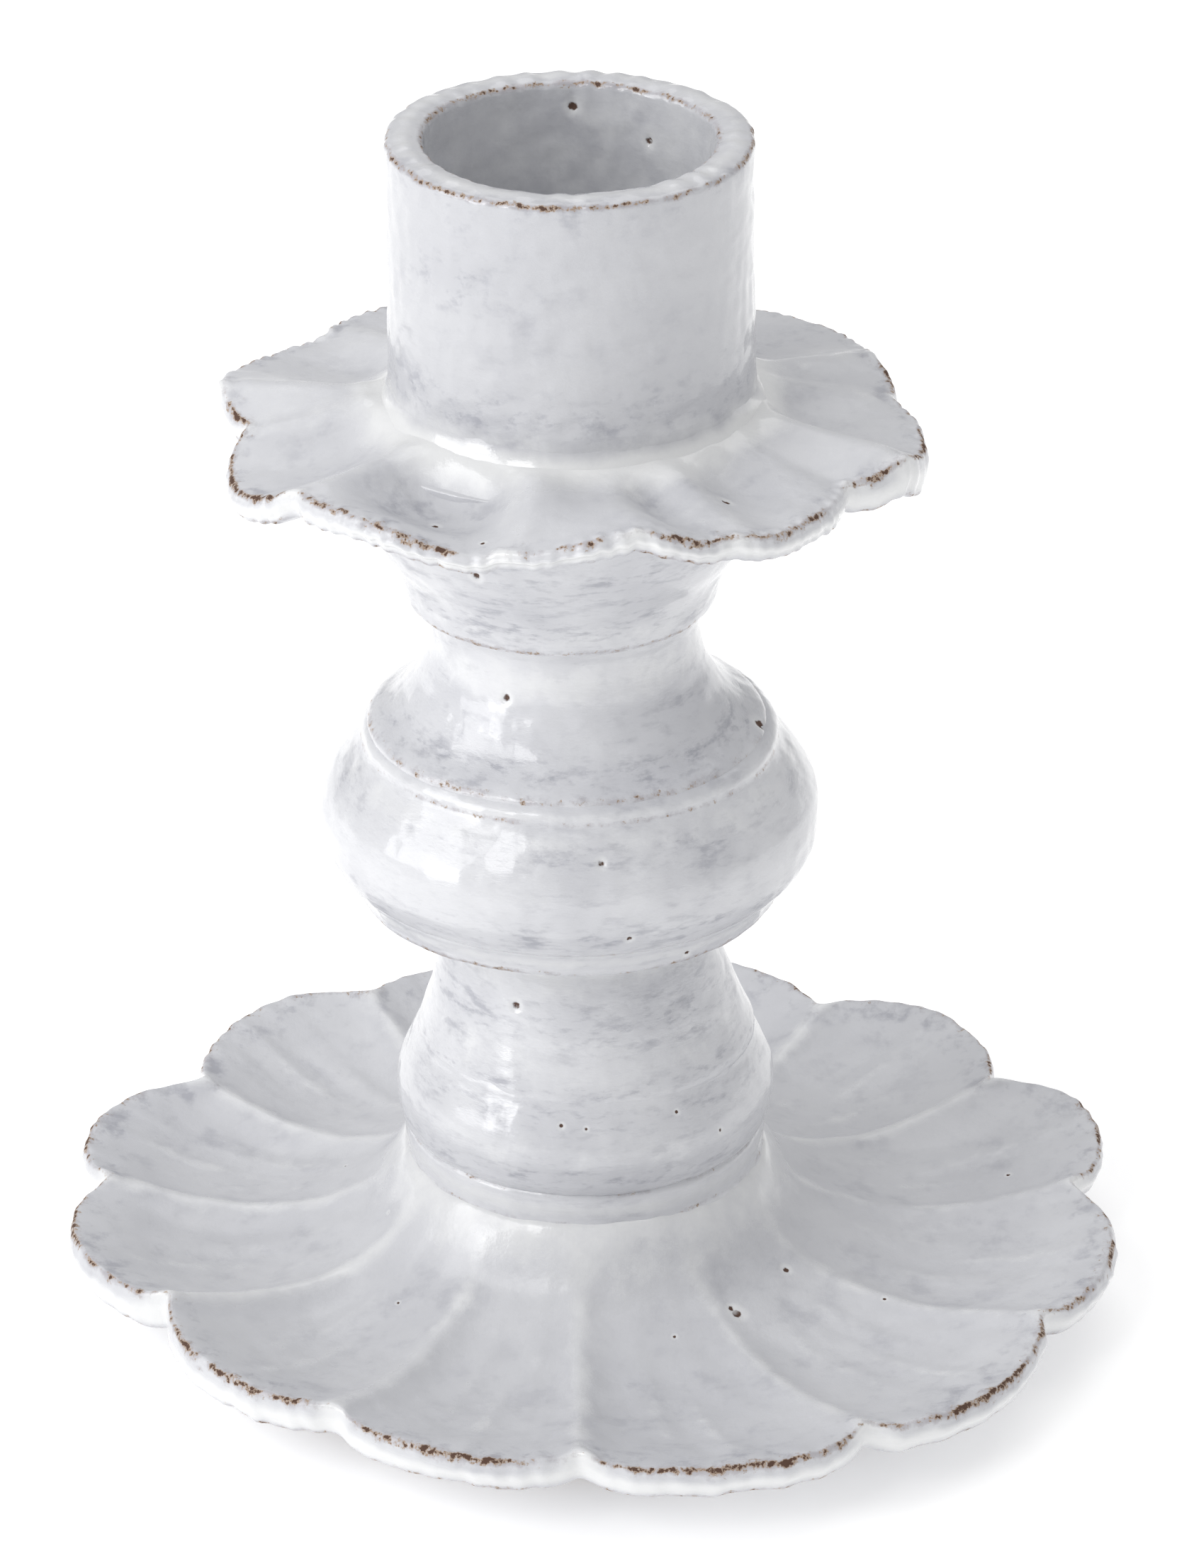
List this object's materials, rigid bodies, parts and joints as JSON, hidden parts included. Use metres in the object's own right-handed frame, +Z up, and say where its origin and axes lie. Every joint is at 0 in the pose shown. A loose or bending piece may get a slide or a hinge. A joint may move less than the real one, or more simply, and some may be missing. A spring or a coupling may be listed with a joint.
{
  "type": "candlestick",
  "caption": "Hand-made white-glazed clay candlestick: scalloped flower dish foot, hollow baluster stem, flower-shaped drip pan and a straight candle cup.",
  "frame": {"origin": "on the ground, under the middle of the base dish", "axes": "+Z up through the stem to the candle cup, -Y towards the viewer, +X to the right"},
  "size_m": [0.1011, 0.1007, 0.1174],
  "materials": {
    "white_glaze": "glossy milky tin glaze, greyer where thin, broken to brown clay on edges",
    "bare_clay": "unglazed dark clay, matt"
  },
  "bodies": {
    "root": {"foot_ring": "bare_clay", "base_dish": "white_glaze", "stem_foot_coil": "white_glaze", "lower_bulb": "white_glaze", "lower_neck": "white_glaze", "knop_base": "white_glaze", "main_knop": "white_glaze", "shoulder_bell": "white_glaze", "collar_bell": "white_glaze", "drip_pan": "white_glaze", "candle_cup": "white_glaze", "cup_joint_coil": "white_glaze"}
  },
  "joints": []
}
